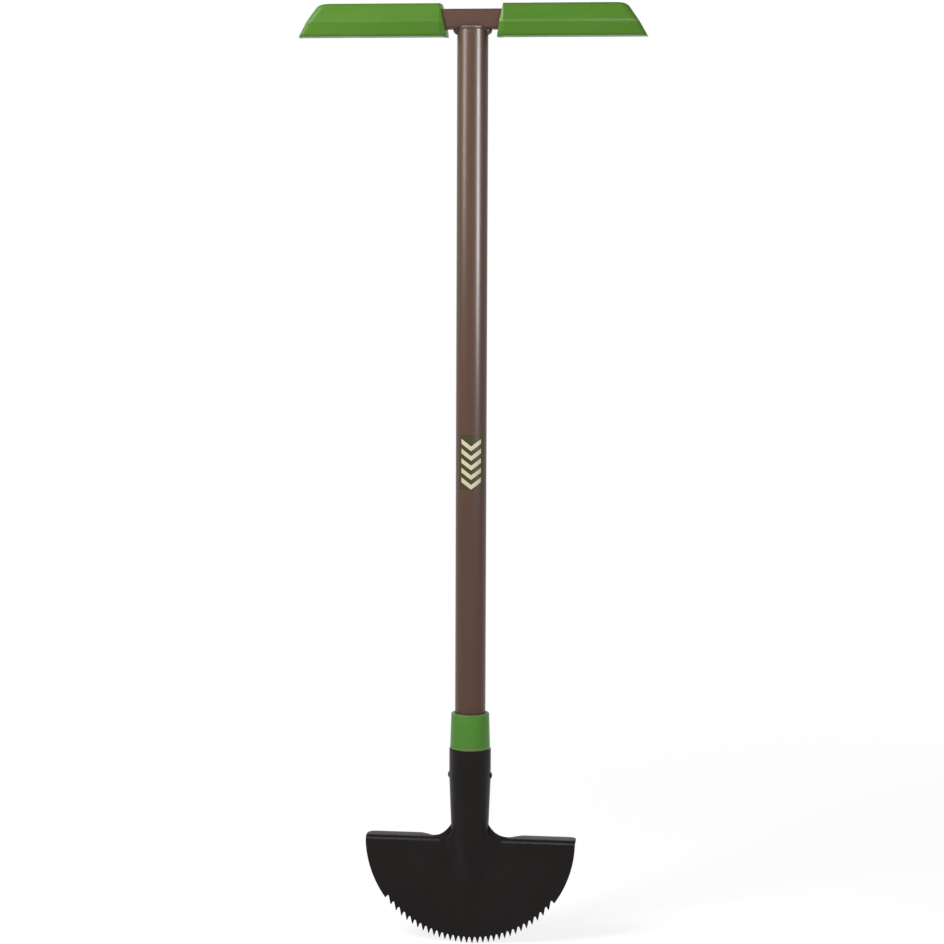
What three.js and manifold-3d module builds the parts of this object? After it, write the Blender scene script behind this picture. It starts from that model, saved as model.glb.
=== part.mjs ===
// Border edger: a half-moon lawn edger with saw teeth, on a straight steel shaft with a cross handle.
// Lengths are millimetres. +Z runs up the shaft, +X to the right as one faces the blade's front, and +Y
// behind the blade, where the treads point. The origin is on the shaft's axis, level with the lowest teeth.
import * as THREE from "three";
import { mergeVertices } from "three/addons/utils/BufferGeometryUtils.js";
import Module from "manifold-3d";

const wasm = await Module();
wasm.setup();

const { clamp, degToRad, lerp, smoothstep } = THREE.MathUtils;

// Fits, shared by all the pieces
const seatGap = 0.3; // room between two pieces that fit into one another
const overrun = 5; // how far a cutting shape runs past what it cuts
const sink = 0.1; // how deep a shape starts inside the surface that it joins
const mergeDistance = 1e-4; // corners closer than this are one corner

// Shaft
const tubeRadius = 16;
const tubeWall = 1.5;
const tubeLength = 806;
const tubeInsert = 57.3; // how much of the tube is inside the socket
const roundSides = 64; // facets round the tube and the ferrule

// Ferrule, a plastic collar with a spigot between socket and tube
const spigotWall = 3.1; // at the socket's rim
const spigotLength = 52;
const ferruleHeight = 38.2; // above the rim
const ferruleLedge = 0.85; // how far the socket's rim stands out under the collar
const ferruleTaper = 1.1; // how much narrower in radius the collar's top is
const ferruleEdge = 1.2; // rounding of the collar's two outer edges
const edgeSteps = 4;

// Blade: a half-round plate with saw teeth
const sheet = 2.2; // thickness of the steel that the whole pressing is made of
const bladeRadius = 111.5;
const toothedWidthShare = 0.809; // share of the blade's width that carries teeth
const toothPitch = 5.82;
const toothFlat = 0.5;
const gulletDepth = 6.5;
const gulletRadius = 1;
const gulletSteps = 4;
const bladeArcSteps = 14;

// Treads, turned back from the top edge of the plate
const treadRise = 1; // top of the treads above the centre of the half-round edge
const treadDepth = 23; // front face of the plate to rear edge of the tread
const treadBendRadius = 8; // outside of the bend
const treadCorner = 8;
const bendStandoff = 6.15; // from the neck's side to where the top edge starts to lean back
const bendRunout = 16; // width in which the top edge goes from upright to flat
const treadEndStandoff = 9.85; // from the neck's side to where the blank gets longer for the tread
const treadEndRun = 27; // width in which the tread reaches its full depth
const bendSteps = 7;
const runoutSteps = 7;
const edgeStrip = 1; // width of the last strip of the turned edge

// Neck, frog and socket: the blank is rolled round the shaft, and the roll runs out into the plate
const neckFillet = 30; // between the socket's side and the tread, in the flat blank
const neckRise = 15.6; // top of the treads to where the fillet meets the socket's side
const frogFlare = 11.15; // how far the frog's foot spreads past the neck's radius at the treads
const frogSpread = 23.6; // height in which the foot spreads out below the neck
const frogLength = 62.4; // below the top of the treads
const frogEndShare = 0.4; // width of the frog's blunt lower end, of its full width
const frogRiseShare = 0.8; // below 1, the frog rises sooner from its lower end
const frogRoundShare = 0.62; // share of the frog's height at which its section starts to turn round
const socketLength = 97.1; // top of the treads to the rim
const socketTaper = 2.05; // how much narrower in radius the socket is at the neck
const socketStraight = 29.5; // straight stretch under the rim
const seamGap = 1.5; // open seam at the back of the socket
const backOpening = 22; // height in which the socket's back closes above the neck
const sectionSteps = 20; // facets across the front half of a frog or socket section
const frogSteps = 10;
const neckSteps = 8;
const filletSteps = 12;

// Rivet through the socket, spigot and tube
const rivetDrop = 28.5; // below the rim
const rivetRadius = 2.4;
const rivetHeadRadius = 3.6;
const rivetHeadHeight = 1.3;
const rivetSides = 24;
const domeSteps = 5;

// Crossbar
const barHeight = 20;
const barDepth = 25;
const barWall = 1.5;
const barCorner = 3;
const barEndDepth = 22; // from the lower corner of a grip's outer end to the end of the bar
const cornerSteps = 4;

// Grips, pushed on the bar from its ends
const gripHalfSpan = 179.9; // middle of the handle to the lower corner of a grip's outer end
const gripGapHalf = 32.9; // middle of the handle to the crease at a grip's inner end
const gripTopWall = 5.7;
const gripBottomWall = 7.7;
const gripSideWall = 5; // at the ridge
const gripFacetRise = 4; // how far the ridge stands out past the top and bottom edges
const gripRidgeShare = 0.45; // height of the ridge, of the grip's height
const gripCorner = 4;
const gripRidgeRadius = 2.5;
const gripEndCorner = 14; // rounding between the top and the outer end
const gripUpperSlant = degToRad(33.6); // of the outer end above the ridge, from upright
const gripLowerSlant = degToRad(31);
const gripEndChamfer = 8; // along the grip, at the sides of the outer end
const gripEndNarrowing = 4.5; // across the grip
const gripEndSteps = 3;
const gripInnerSlant = 7; // how far the lower edge of the inner end reaches past the crease
const gripInnerTop = 0.6; // the same at the upper edge
const gripInnerNarrowing = 3; // across the grip
const gripLip = 0.7; // how far the lower corners hang below the grip
const ridgeSteps = 2;

// Weld between tube and crossbar
const weldSideRadius = 4.5; // of the bead's own section, at the sides
const weldSideSink = 0.5; // of the section's centre inside the tube's side
const weldDrop = 1.35; // of the section's centre below the bar, at the sides
const weldFrontRadius = 3.1; // of the section in front and behind
const weldFrontSink = 0.6; // of the section's centre behind the middle of the tube's ledge
const weldClimb = 1.2; // of the section's centre above the bar's underside, in front and behind
const weldClimbShares = [0.3, 0.6]; // of the way from the side to the front, where the climb starts and ends
const weldSides = 12;
const weldStations = 48;

// Places that follow from the sizes
const toothGaps = Math.round((2 * bladeRadius * toothedWidthShare) / toothPitch);
const toothedHalf = bladeRadius * toothedWidthShare;
const toothStep = (2 * toothedHalf) / toothGaps;
// With an odd number of gaps the two teeth beside the middle are the lowest, and with an even one the middle
// tooth is.
const lowestToothX = (toothGaps % 2) * (toothStep / 2);
const bladeCentreZ = Math.sqrt(bladeRadius ** 2 - lowestToothX ** 2);
const treadTopZ = bladeCentreZ + treadRise;
const bendZ = treadTopZ - treadBendRadius;
const bendMiddleRadius = treadBendRadius - sheet / 2;
const socketRadius = tubeRadius + seatGap + spigotWall + seatGap + sheet;
const neckRadius = socketRadius - socketTaper;
const neckZ = treadTopZ + neckRise;
const filletX = neckRadius + Math.sqrt(neckFillet ** 2 - (neckFillet - neckRise) ** 2);
const bendStartX = neckRadius + bendStandoff;
const bendEndX = bendStartX + bendRunout;
const treadEndX = neckRadius + treadEndStandoff;
const treadFullX = treadEndX + treadEndRun;
const frogHalfWidth = neckRadius + frogFlare;
const frogFootZ = treadTopZ - frogLength;
const rimZ = treadTopZ + socketLength;
const taperTopZ = rimZ - socketStraight;
const barZ = rimZ - tubeInsert + tubeLength + barHeight / 2;
const barHalfLength = gripHalfSpan - barEndDepth;
// Heights and depths in the handle count from the crossbar's axis.
const gripTop = barHeight / 2 + gripTopWall;
const gripBottom = -barHeight / 2 - gripBottomWall;
const ridgeZ = lerp(gripBottom, gripTop, gripRidgeShare);
const ridgeY = barDepth / 2 + gripSideWall;

// Colours and finishes
function paintedSteel() {
  return new THREE.MeshStandardMaterial({ color: "#644e44", roughness: 0.35, metalness: 0.3 });
}
function blackSteel() {
  return new THREE.MeshStandardMaterial({ color: "#282424", roughness: 0.5, metalness: 0.3 });
}
function greenPlastic() {
  return new THREE.MeshStandardMaterial({ color: "#649740", roughness: 0.5, metalness: 0 });
}

// Points of an arc, both ends included.
function arc(centreX, centreY, radius, from, to, steps) {
  return Array.from({ length: steps + 1 }, (_, i) => {
    const angle = lerp(from, to, i / steps);
    return new THREE.Vector2(centreX + radius * Math.cos(angle), centreY + radius * Math.sin(angle));
  });
}

// Outline of a rectangle about the origin with rounded corners.
function roundedRectangle(halfWidth, halfHeight, corner) {
  const corners = [
    [1, 1],
    [-1, 1],
    [-1, -1],
    [1, -1],
  ];
  return corners.flatMap(([right, up], i) =>
    arc(
      right * (halfWidth - corner),
      up * (halfHeight - corner),
      corner,
      (i * Math.PI) / 2,
      ((i + 1) * Math.PI) / 2,
      cornerSteps,
    ),
  );
}

// A prism along Y. The outline gives X and Z.
function prismAlongY(outline, front, back) {
  const depth = back - front;
  const geometry = new THREE.ExtrudeGeometry(new THREE.Shape(outline), { depth, bevelEnabled: false });
  return geometry.rotateX(Math.PI / 2).translate(0, back, 0);
}

// A prism along X, from the start for a length. The outline gives Y and Z.
function prismAlongX(outline, start, length, hole) {
  const shape = new THREE.Shape(outline);
  if (hole) shape.holes.push(new THREE.Path(hole));
  const geometry = new THREE.ExtrudeGeometry(shape, { depth: length, bevelEnabled: false });
  return geometry
    .rotateX(Math.PI / 2)
    .rotateZ(Math.PI / 2)
    .translate(start, 0, 0);
}

// A turned piece about Z. The profile gives radius and height.
function turned(profile, sides) {
  return new THREE.LatheGeometry(profile, sides).rotateX(Math.PI / 2);
}

// A skin over a row of rings that have the same even number of points. Each end is closed by strips between
// the ring's two halves, and a looped row runs back to its first ring instead.
function loft(rings, looped = false) {
  const size = rings[0].length;
  const index = [];
  const at = (ring, point) => (ring % rings.length) * size + (point % size);
  const quad = (a, b, c, d) => index.push(a, b, c, a, c, d);
  const spans = looped ? rings.length : rings.length - 1;
  for (let i = 0; i < spans; i++) {
    for (let k = 0; k < size; k++) quad(at(i, k), at(i, k + 1), at(i + 1, k + 1), at(i + 1, k));
  }
  for (let k = 0; !looped && k < size / 2 - 1; k++) {
    quad(at(0, k + 1), at(0, k), at(0, size - 1 - k), at(0, size - 2 - k));
    quad(at(spans, k), at(spans, k + 1), at(spans, size - 2 - k), at(spans, size - 1 - k));
  }
  return new THREE.BufferGeometry().setFromPoints(rings.flat()).setIndex(index);
}

// A closed geometry as a solid that can be joined and cut.
function solid(geometry) {
  geometry.deleteAttribute("normal");
  geometry.deleteAttribute("uv");
  const merged = mergeVertices(geometry, mergeDistance);
  return new wasm.Manifold(
    new wasm.Mesh({
      numProp: 3,
      vertProperties: merged.attributes.position.array,
      triVerts: new Uint32Array(merged.index.array),
    }),
  );
}

// A solid as a named mesh.
function piece(name, made, material) {
  const { vertProperties, triVerts } = made.getMesh();
  const geometry = new THREE.BufferGeometry();
  geometry.setAttribute("position", new THREE.BufferAttribute(vertProperties, 3));
  geometry.setIndex(new THREE.BufferAttribute(triVerts, 1));
  geometry.computeVertexNormals();
  const mesh = new THREE.Mesh(geometry, material);
  mesh.name = name;
  return mesh;
}

// Height of the blade's half-round edge.
function edgeZ(x) {
  return bladeCentreZ - Math.sqrt(bladeRadius ** 2 - x ** 2);
}

// One gullet between two teeth, cut straight up whatever the slope of the edge: rounded at its top.
function gullet(leftToothX) {
  const middleX = leftToothX + toothStep / 2;
  const centreZ = edgeZ(middleX) + gulletDepth - gulletRadius;
  const flankRun = toothStep / 2 - toothFlat / 2 - gulletRadius;
  const flankLean = Math.atan2(flankRun, gulletDepth);
  return arc(middleX, centreZ, gulletRadius, Math.PI - flankLean, flankLean, gulletSteps);
}

// Outline of the blade from the front: the half-round edge with its teeth, open upwards past the neck.
function bladeOutline() {
  const endAngle = Math.asin(toothedWidthShare);
  const leftEnd = Math.PI;
  const firstTooth = 1.5 * Math.PI - endAngle;
  const lastTooth = 1.5 * Math.PI + endAngle;
  const rightEnd = 2 * Math.PI;
  const points = arc(0, bladeCentreZ, bladeRadius, leftEnd, firstTooth, bladeArcSteps);
  for (let i = 0; i < toothGaps; i++) {
    const toothX = -toothedHalf + i * toothStep;
    if (i > 0) {
      points.push(new THREE.Vector2(toothX - toothFlat / 2, edgeZ(toothX)));
      points.push(new THREE.Vector2(toothX + toothFlat / 2, edgeZ(toothX)));
    }
    points.push(...gullet(toothX));
  }
  points.push(...arc(0, bladeCentreZ, bladeRadius, lastTooth, rightEnd, bladeArcSteps));
  points.push(new THREE.Vector2(bladeRadius, neckZ + overrun));
  points.push(new THREE.Vector2(-bladeRadius, neckZ + overrun));
  return points;
}

// Stations across the right half of the plate, closest together where its top edge changes.
function plateStations() {
  const neckTurn = Math.asin((filletX - neckRadius) / neckFillet);
  const fillet = arc(filletX, 0, neckFillet, Math.PI / 2 + neckTurn, Math.PI / 2, filletSteps);
  const corner = arc(bladeRadius - treadCorner, 0, treadCorner, Math.PI / 2, 0, cornerSteps);
  const stations = [0, ...fillet.map((point) => point.x)];
  for (let i = 1; i <= runoutSteps; i++) stations.push(lerp(filletX, treadFullX, i / runoutSteps));
  return [...stations, ...corner.map((point) => point.x), bladeRadius + overrun];
}

// Length of the flat blank above the line where the treads' bend starts: high at the neck, down along its
// fillet, and up again to the full length of a tread.
function blankLength(x) {
  const run = clamp(filletX - x, 0, filletX - neckRadius);
  const notch = treadBendRadius + neckFillet - Math.sqrt(neckFillet ** 2 - run ** 2);
  const full = (bendMiddleRadius * Math.PI) / 2 + treadDepth - treadBendRadius;
  const cornerRun = clamp(x - (bladeRadius - treadCorner), 0, treadCorner);
  const cornerCut = treadCorner - Math.sqrt(treadCorner ** 2 - cornerRun ** 2);
  return notch + (full - treadBendRadius) * smoothstep(x, treadEndX, treadFullX) - cornerCut;
}

// Section of the plate at a station: straight up, then leaning back by the bend that the station has.
// The ring runs up the front face and down the back face.
function plateRing(x) {
  const distance = Math.abs(x);
  const bend = (Math.PI / 2) * smoothstep(distance, bendStartX, bendEndX);
  const length = blankLength(distance);
  const bendLength = Math.min((bendMiddleRadius * Math.PI) / 2, length - edgeStrip);
  const ways = Array.from({ length: bendSteps + 1 }, (_, i) => (bendLength * i) / bendSteps);
  const middle = [...ways, length].map((way) => {
    const lean = Math.min(way / bendMiddleRadius, bend);
    const beyond = way - bendMiddleRadius * lean;
    return {
      y: bendMiddleRadius * (1 - Math.cos(lean)) + beyond * Math.sin(lean),
      z: bendZ + bendMiddleRadius * Math.sin(lean) + beyond * Math.cos(lean),
      lean,
    };
  });
  middle.unshift({ y: 0, z: -overrun, lean: 0 });
  const face = (side) =>
    middle.map(({ y, z, lean }) => {
      const offset = (side * sheet) / 2;
      return new THREE.Vector3(x, y + offset * Math.cos(lean), z - offset * Math.sin(lean));
    });
  return [...face(-1), ...face(1).reverse()];
}

// The flat plate with its turned treads, cut to the toothed outline.
function plate() {
  const half = plateStations();
  const stations = [...half.slice(1).reverse(), ...half.map((x) => -x)];
  const bent = solid(loft(stations.map(plateRing)));
  return bent.intersect(solid(prismAlongY(bladeOutline(), -sheet - overrun, treadDepth + overrun)));
}

// Radius of the socket at a height.
function socketRadiusAt(z) {
  const share = clamp((z - neckZ) / (taperTopZ - neckZ), 0, 1);
  return lerp(neckRadius, socketRadius, share);
}

// Half the width of the frog's foot at a height. It leaves the neck slowly, inside the neck's edge, spreads,
// and then narrows down the plate.
function footHalfWidth(z) {
  if (z >= neckZ) return socketRadiusAt(z);
  const share = Math.min((z - frogFootZ) / (treadTopZ - frogFootZ), 1);
  const rib = frogHalfWidth * lerp(frogEndShare, 1, share);
  const spread = Math.min((neckZ - z) / frogSpread, 1);
  return lerp(neckRadius, rib, spread ** 3 * (4 - 3 * spread));
}

// Front half of the section at a height, from the left foot over the crown to the right foot. Up the socket
// it is half a circle, and down the frog it becomes a bell whose feet lie flat on the plate.
function frontHalf(z) {
  const share = clamp((z - frogFootZ) / (neckZ - frogFootZ), 0, 1);
  const rise = Math.sin((Math.PI / 2) * share ** frogRiseShare) ** 2;
  const roundness = smoothstep(share, frogRoundShare, 1);
  const halfWidth = footHalfWidth(z);
  const foot = sheet / 2 - sink;
  const crown = lerp(foot, socketRadiusAt(z), rise);
  const halfStep = sectionSteps / (sectionSteps + 1); // keeps the facets of a full circle equal
  return Array.from({ length: sectionSteps + 1 }, (_, i) => {
    const across = lerp(-1, 1, i / sectionSteps);
    const angle = (Math.PI / 2) * across;
    const bell = new THREE.Vector2(halfWidth * across, -lerp(foot, crown, Math.cos(angle) ** 2));
    const turn = angle * halfStep;
    const round = new THREE.Vector2(halfWidth * Math.sin(turn), -crown * Math.cos(turn));
    return bell.lerp(round, roundness);
  });
}

// The same line moved inwards by the sheet's thickness.
function innerHalf(line) {
  return line.map((point, i) => {
    const before = line[Math.max(i - 1, 0)];
    const after = line[Math.min(i + 1, line.length - 1)];
    const along = after.clone().sub(before).normalize();
    return new THREE.Vector2(point.x - along.y * sheet, point.y + along.x * sheet);
  });
}

// Closes a front half with a back half at the same places across: round in the socket, level in the frog.
function closedRing(front, z, backRadius, levelY) {
  const back = front.map(({ x }) => {
    const round = Math.sqrt(Math.max(backRadius ** 2 - x ** 2, 0));
    return new THREE.Vector3(x, z >= neckZ ? round : levelY, z);
  });
  return [...front.map(({ x, y }) => new THREE.Vector3(x, y, z)), ...back.reverse()];
}

// Heights of the sections, from the frog's lower end to the rim.
function sectionHeights() {
  const frog = Array.from({ length: frogSteps }, (_, i) => lerp(frogFootZ, treadTopZ, i / frogSteps));
  const neck = Array.from({ length: neckSteps + 1 }, (_, i) => lerp(treadTopZ, neckZ, i / neckSteps));
  return [...frog, ...neck, taperTopZ];
}

// Frog and socket as they look from outside, filled.
function rollOutside() {
  const ring = (z) => closedRing(frontHalf(z), z, socketRadiusAt(z), 0);
  return solid(loft([...sectionHeights(), rimZ].map(ring)));
}

// The hollow inside frog and socket. It is open behind the frog and at the rim.
function rollInside() {
  const openY = sheet + overrun;
  const ring = (z) => closedRing(innerHalf(frontHalf(z)), z, socketRadiusAt(z) - sheet, openY);
  return solid(loft([...sectionHeights(), rimZ + overrun].map(ring)));
}

// Takes the socket's back away above the neck, on a slope, so that the frog's hollow is open behind.
function backSlope() {
  const slope = backOpening / socketRadius;
  const far = socketRadius + overrun;
  const outline = [
    new THREE.Vector2(sheet / 2, treadTopZ),
    new THREE.Vector2(far, treadTopZ),
    new THREE.Vector2(far, neckZ + slope * far),
    new THREE.Vector2(sheet / 2, neckZ),
  ];
  return solid(prismAlongX(outline, -filletX, 2 * filletX));
}

// The seam where the rolled edges meet behind the shaft.
function seam() {
  const back = socketRadius + overrun;
  const front = neckRadius / 2;
  const geometry = new THREE.BoxGeometry(seamGap, back - front, rimZ - neckZ + overrun);
  return solid(geometry.translate(0, (front + back) / 2, (rimZ + neckZ + overrun) / 2));
}

// Hole for the rivet, at a height.
function rivetHole(z) {
  const length = 2 * (socketRadius + overrun);
  const radius = rivetRadius + seatGap;
  const geometry = new THREE.CylinderGeometry(radius, radius, length, rivetSides);
  return solid(geometry.rotateZ(Math.PI / 2).translate(0, 0, z));
}

function blade() {
  const made = plate()
    .add(rollOutside().subtract(backSlope()))
    .subtract(rollInside())
    .subtract(seam())
    .subtract(rivetHole(rimZ - rivetDrop));
  return piece("blade", made, blackSteel());
}

// Tube of the shaft. Heights count from the socket's rim.
function mainTube() {
  const inner = tubeRadius - tubeWall;
  const foot = -tubeInsert;
  const top = tubeLength - tubeInsert;
  const profile = [
    new THREE.Vector2(inner, foot),
    new THREE.Vector2(tubeRadius, foot),
    new THREE.Vector2(tubeRadius, top),
    new THREE.Vector2(inner, top),
    new THREE.Vector2(inner, foot),
  ];
  const made = solid(turned(profile, roundSides)).subtract(rivetHole(-rivetDrop));
  return piece("main_tube", made, paintedSteel());
}

// Collar and spigot in one moulding. Heights count from the socket's rim, on which the collar sits.
function ferrule() {
  const bore = tubeRadius + seatGap;
  const spigotAt = (height) => socketRadiusAt(rimZ + height) - sheet - seatGap;
  const base = socketRadius - ferruleLedge;
  const top = base - ferruleTaper;
  const profile = [
    new THREE.Vector2(bore, -spigotLength),
    new THREE.Vector2(spigotAt(-spigotLength), -spigotLength),
    new THREE.Vector2(spigotAt(-socketStraight), -socketStraight),
    new THREE.Vector2(spigotAt(0), 0),
    ...arc(base - ferruleEdge, ferruleEdge, ferruleEdge, -Math.PI / 2, 0, edgeSteps),
    ...arc(top - ferruleEdge, ferruleHeight - ferruleEdge, ferruleEdge, 0, Math.PI / 2, edgeSteps),
    new THREE.Vector2(bore, ferruleHeight),
    new THREE.Vector2(bore, -spigotLength),
  ];
  const made = solid(turned(profile, roundSides)).subtract(rivetHole(-rivetDrop));
  return piece("ferrule", made, greenPlastic());
}

// Rivet along X, with a low domed head on each side of the socket.
function socketRivet() {
  const grip = socketRadius + seatGap;
  const domeRadius = (rivetHeadRadius ** 2 + rivetHeadHeight ** 2) / (2 * rivetHeadHeight);
  const spread = Math.asin(rivetHeadRadius / domeRadius);
  const domeCentre = grip + rivetHeadHeight - domeRadius;
  const right = arc(0, domeCentre, domeRadius, Math.PI / 2 - spread, Math.PI / 2, domeSteps);
  const left = arc(0, -domeCentre, domeRadius, -Math.PI / 2, spread - Math.PI / 2, domeSteps);
  const shank = [new THREE.Vector2(rivetRadius, -grip), new THREE.Vector2(rivetRadius, grip)];
  const profile = [...left, ...shank, ...right];
  profile.at(0).x = 0;
  profile.at(-1).x = 0;
  const made = solid(turned(profile, rivetSides).rotateY(Math.PI / 2));
  return piece("socket_rivet", made, blackSteel());
}

// Rectangular tube across the top. Heights in the handle count from its axis.
function crossbar() {
  const outside = roundedRectangle(barDepth / 2, barHeight / 2, barCorner);
  const innerCorner = Math.max(barCorner - barWall, sink);
  const inside = roundedRectangle(barDepth / 2 - barWall, barHeight / 2 - barWall, innerCorner);
  const made = solid(prismAlongX(outside, -barHalfLength, 2 * barHalfLength, inside.reverse()));
  return piece("crossbar", made, paintedSteel());
}

// Front half of a grip's section, from its top edge to its bottom edge: a flat top, two facets that meet at
// the ridge, and a flat bottom, all with rounded corners.
function gripHalfSection() {
  const upperLean = Math.atan2(gripFacetRise, gripTop - ridgeZ);
  const lowerLean = Math.atan2(gripFacetRise, ridgeZ - gripBottom);
  const tangent = (turn) => gripCorner * Math.tan(turn / 2);
  const edgeY = ridgeY - gripFacetRise;
  const upper = arc(
    edgeY - tangent(Math.PI / 2 - upperLean),
    gripTop - gripCorner,
    gripCorner,
    Math.PI / 2,
    upperLean,
    cornerSteps,
  );
  const ridge = arc(
    ridgeY - gripRidgeRadius / Math.cos((upperLean + lowerLean) / 2),
    ridgeZ,
    gripRidgeRadius,
    upperLean,
    -lowerLean,
    ridgeSteps,
  );
  const lower = arc(
    edgeY - tangent(Math.PI / 2 - lowerLean),
    gripBottom + gripCorner,
    gripCorner,
    -lowerLean,
    -Math.PI / 2,
    cornerSteps,
  );
  return [...upper, ...ridge, ...lower];
}

// How far out the outer end is at a height: slanted below and above the ridge, and rounded into the top.
function outerEnd(z) {
  const below = Math.min(z, ridgeZ) - gripBottom;
  const above = Math.max(z - ridgeZ, 0);
  const slanted = gripHalfSpan - below * Math.tan(gripLowerSlant) - above * Math.tan(gripUpperSlant);
  const turn = Math.PI / 2 - gripUpperSlant;
  const centreZ = gripTop - gripEndCorner;
  const arcDrop = gripEndCorner * (1 - Math.cos(turn));
  const fromTop = gripTop - z;
  if (fromTop >= arcDrop) return slanted;
  const cornerX = gripHalfSpan - (ridgeZ - gripBottom) * Math.tan(gripLowerSlant);
  const topX = cornerX - (gripTop - ridgeZ) * Math.tan(gripUpperSlant);
  const centreX = topX - gripEndCorner * Math.tan(turn / 2);
  return centreX + Math.sqrt(Math.max(gripEndCorner ** 2 - (z - centreZ) ** 2, 0));
}

// How far in the inner end reaches at a height.
function innerEnd(z) {
  const share = (z - gripBottom) / (gripTop - gripBottom);
  return gripGapHalf - lerp(gripInnerSlant, gripInnerTop, share);
}

// One ring of a grip: the section drawn in across by an inset, each point at the place that its height asks
// for.
function gripRing(side, inset, lip, placeAt) {
  const half = gripHalfSection();
  const points = half.map(({ x: y, y: z }) => {
    const hang = z < ridgeZ ? lip * ((ridgeZ - z) / (ridgeZ - gripBottom)) ** 2 : 0;
    return new THREE.Vector3(side * placeAt(z), -(y - inset(z)), z - hang);
  });
  const mirrored = points.map((point) => new THREE.Vector3(point.x, -point.y, point.z));
  return [...points, ...mirrored.reverse()];
}

// A grip on the right, or on the left where side is -1, with its pocket for the bar.
function gripPiece(name, side) {
  const level = () => 0;
  const innerInset = (z) => (gripInnerNarrowing * (gripGapHalf - innerEnd(z))) / gripInnerSlant;
  const rings = [gripRing(side, innerInset, gripLip, innerEnd), gripRing(side, level, 0, () => gripGapHalf)];
  for (let i = 0; i <= gripEndSteps; i++) {
    const turn = (Math.PI / 2) * (i / gripEndSteps);
    const back = gripEndChamfer * (1 - Math.sin(turn));
    const inset = gripEndNarrowing * (1 - Math.cos(turn));
    const lip = i === gripEndSteps ? gripLip : 0;
    rings.push(gripRing(side, () => inset, lip, (z) => outerEnd(z) - back));
  }
  if (side < 0) rings.reverse();
  const pocket = roundedRectangle(barDepth / 2 + seatGap, barHeight / 2 + seatGap, barCorner);
  const start = side > 0 ? 0 : -barHalfLength - seatGap;
  const made = solid(loft(rings)).subtract(solid(prismAlongX(pocket, start, barHalfLength + seatGap)));
  return piece(name, made, greenPlastic());
}

// Weld bead round the top of the tube. At the sides it fills the corner under the bar, and in front and
// behind it lies on the tube's rim and climbs the face of the bar. Heights count from the bar's axis.
function weldBead() {
  const underside = -barHeight / 2;
  const rings = Array.from({ length: weldStations }, (_, i) => {
    const angle = (2 * Math.PI * i) / weldStations;
    const frontal = smoothstep(Math.abs(Math.sin(angle)), ...weldClimbShares);
    const ledge = (barDepth / 2 + tubeRadius) / 2;
    const away = lerp(tubeRadius - weldSideSink, ledge - weldFrontSink, frontal);
    const height = underside + lerp(-weldDrop, weldClimb, frontal);
    const radius = lerp(weldSideRadius, weldFrontRadius, frontal);
    const section = arc(away, height, radius, Math.PI, -Math.PI, weldSides).slice(1);
    return section.map(({ x: r, y: z }) => new THREE.Vector3(r * Math.cos(angle), r * Math.sin(angle), z));
  });
  const bore = tubeRadius + seatGap;
  const shaft = new THREE.CylinderGeometry(bore, bore, barHeight, roundSides).rotateX(Math.PI / 2);
  const outside = roundedRectangle(barDepth / 2 + seatGap, barHeight / 2 + seatGap, barCorner + seatGap);
  const made = solid(loft(rings, true))
    .subtract(solid(shaft.translate(0, 0, underside - barHeight / 2 + seatGap)))
    .subtract(solid(prismAlongX(outside, -barHalfLength, 2 * barHalfLength)));
  return piece("weld_bead", made, paintedSteel());
}

// Assembly: the blade stands in the part's own frame, the shaft at the socket's rim, and the handle at the
// bar.
const edger = new THREE.Group();
edger.add(blade());

const shaft = new THREE.Group();
shaft.position.z = rimZ;
const rivet = socketRivet();
rivet.position.z = -rivetDrop;
shaft.add(mainTube(), ferrule(), rivet);
edger.add(shaft);

const handle = new THREE.Group();
handle.position.z = barZ;
handle.add(crossbar(), weldBead(), gripPiece("left_grip", -1), gripPiece("right_grip", 1));
edger.add(handle);

export default edger;
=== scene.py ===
"""Border edger: the looks of a half-moon lawn edger with a toothed blade, steel shaft and cross handle.

Lengths are metres. +Z runs up the shaft, +X to the right as one faces the blade's front, and the treads
point to +Y.
"""

from math import atan2, cos, hypot, pi, radians, sin, sqrt, tan

import bmesh
import bpy
from bpy.props import FloatProperty, FloatVectorProperty, IntProperty, PointerProperty
from mathutils import Matrix, Vector


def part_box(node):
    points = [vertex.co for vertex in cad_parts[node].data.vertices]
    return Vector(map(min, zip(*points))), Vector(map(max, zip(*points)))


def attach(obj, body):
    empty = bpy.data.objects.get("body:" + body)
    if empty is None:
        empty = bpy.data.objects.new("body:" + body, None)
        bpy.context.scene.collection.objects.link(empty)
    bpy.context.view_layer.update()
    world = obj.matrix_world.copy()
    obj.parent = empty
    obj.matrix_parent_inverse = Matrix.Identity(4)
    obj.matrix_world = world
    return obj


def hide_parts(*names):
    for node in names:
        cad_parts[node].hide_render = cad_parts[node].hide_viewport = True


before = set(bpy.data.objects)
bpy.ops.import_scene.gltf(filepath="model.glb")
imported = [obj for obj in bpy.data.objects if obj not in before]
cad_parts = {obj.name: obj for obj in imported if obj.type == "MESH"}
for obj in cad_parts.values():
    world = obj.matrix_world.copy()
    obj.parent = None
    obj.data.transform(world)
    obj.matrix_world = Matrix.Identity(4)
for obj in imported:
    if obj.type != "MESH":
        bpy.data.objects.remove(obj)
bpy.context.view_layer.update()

bl_info = {
    "name": "Border edger",
    "version": (1, 0, 0),
    "blender": (4, 5, 0),
    "location": "View3D > Sidebar > Edger",
    "description": "Builds the visible pieces, finishes and studio of a half-moon border edger",
    "category": "Add Mesh",
}

BODY = "root"
MERGE = 1e-5  # vertices nearer than this are one
TINY = 1e-6  # lengths below this count as nothing
RING_MATCH = 2e-4  # an edge that lies nearer than this to a ring is part of it
SMOOTH_ANGLE = radians(32)  # faces that meet at a smaller angle are shaded as one


def length_property(name, description, default):
    return FloatProperty(
        name=name,
        description=description,
        subtype="DISTANCE",
        unit="LENGTH",
        min=0,
        default=default,
        precision=4,
    )


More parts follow.
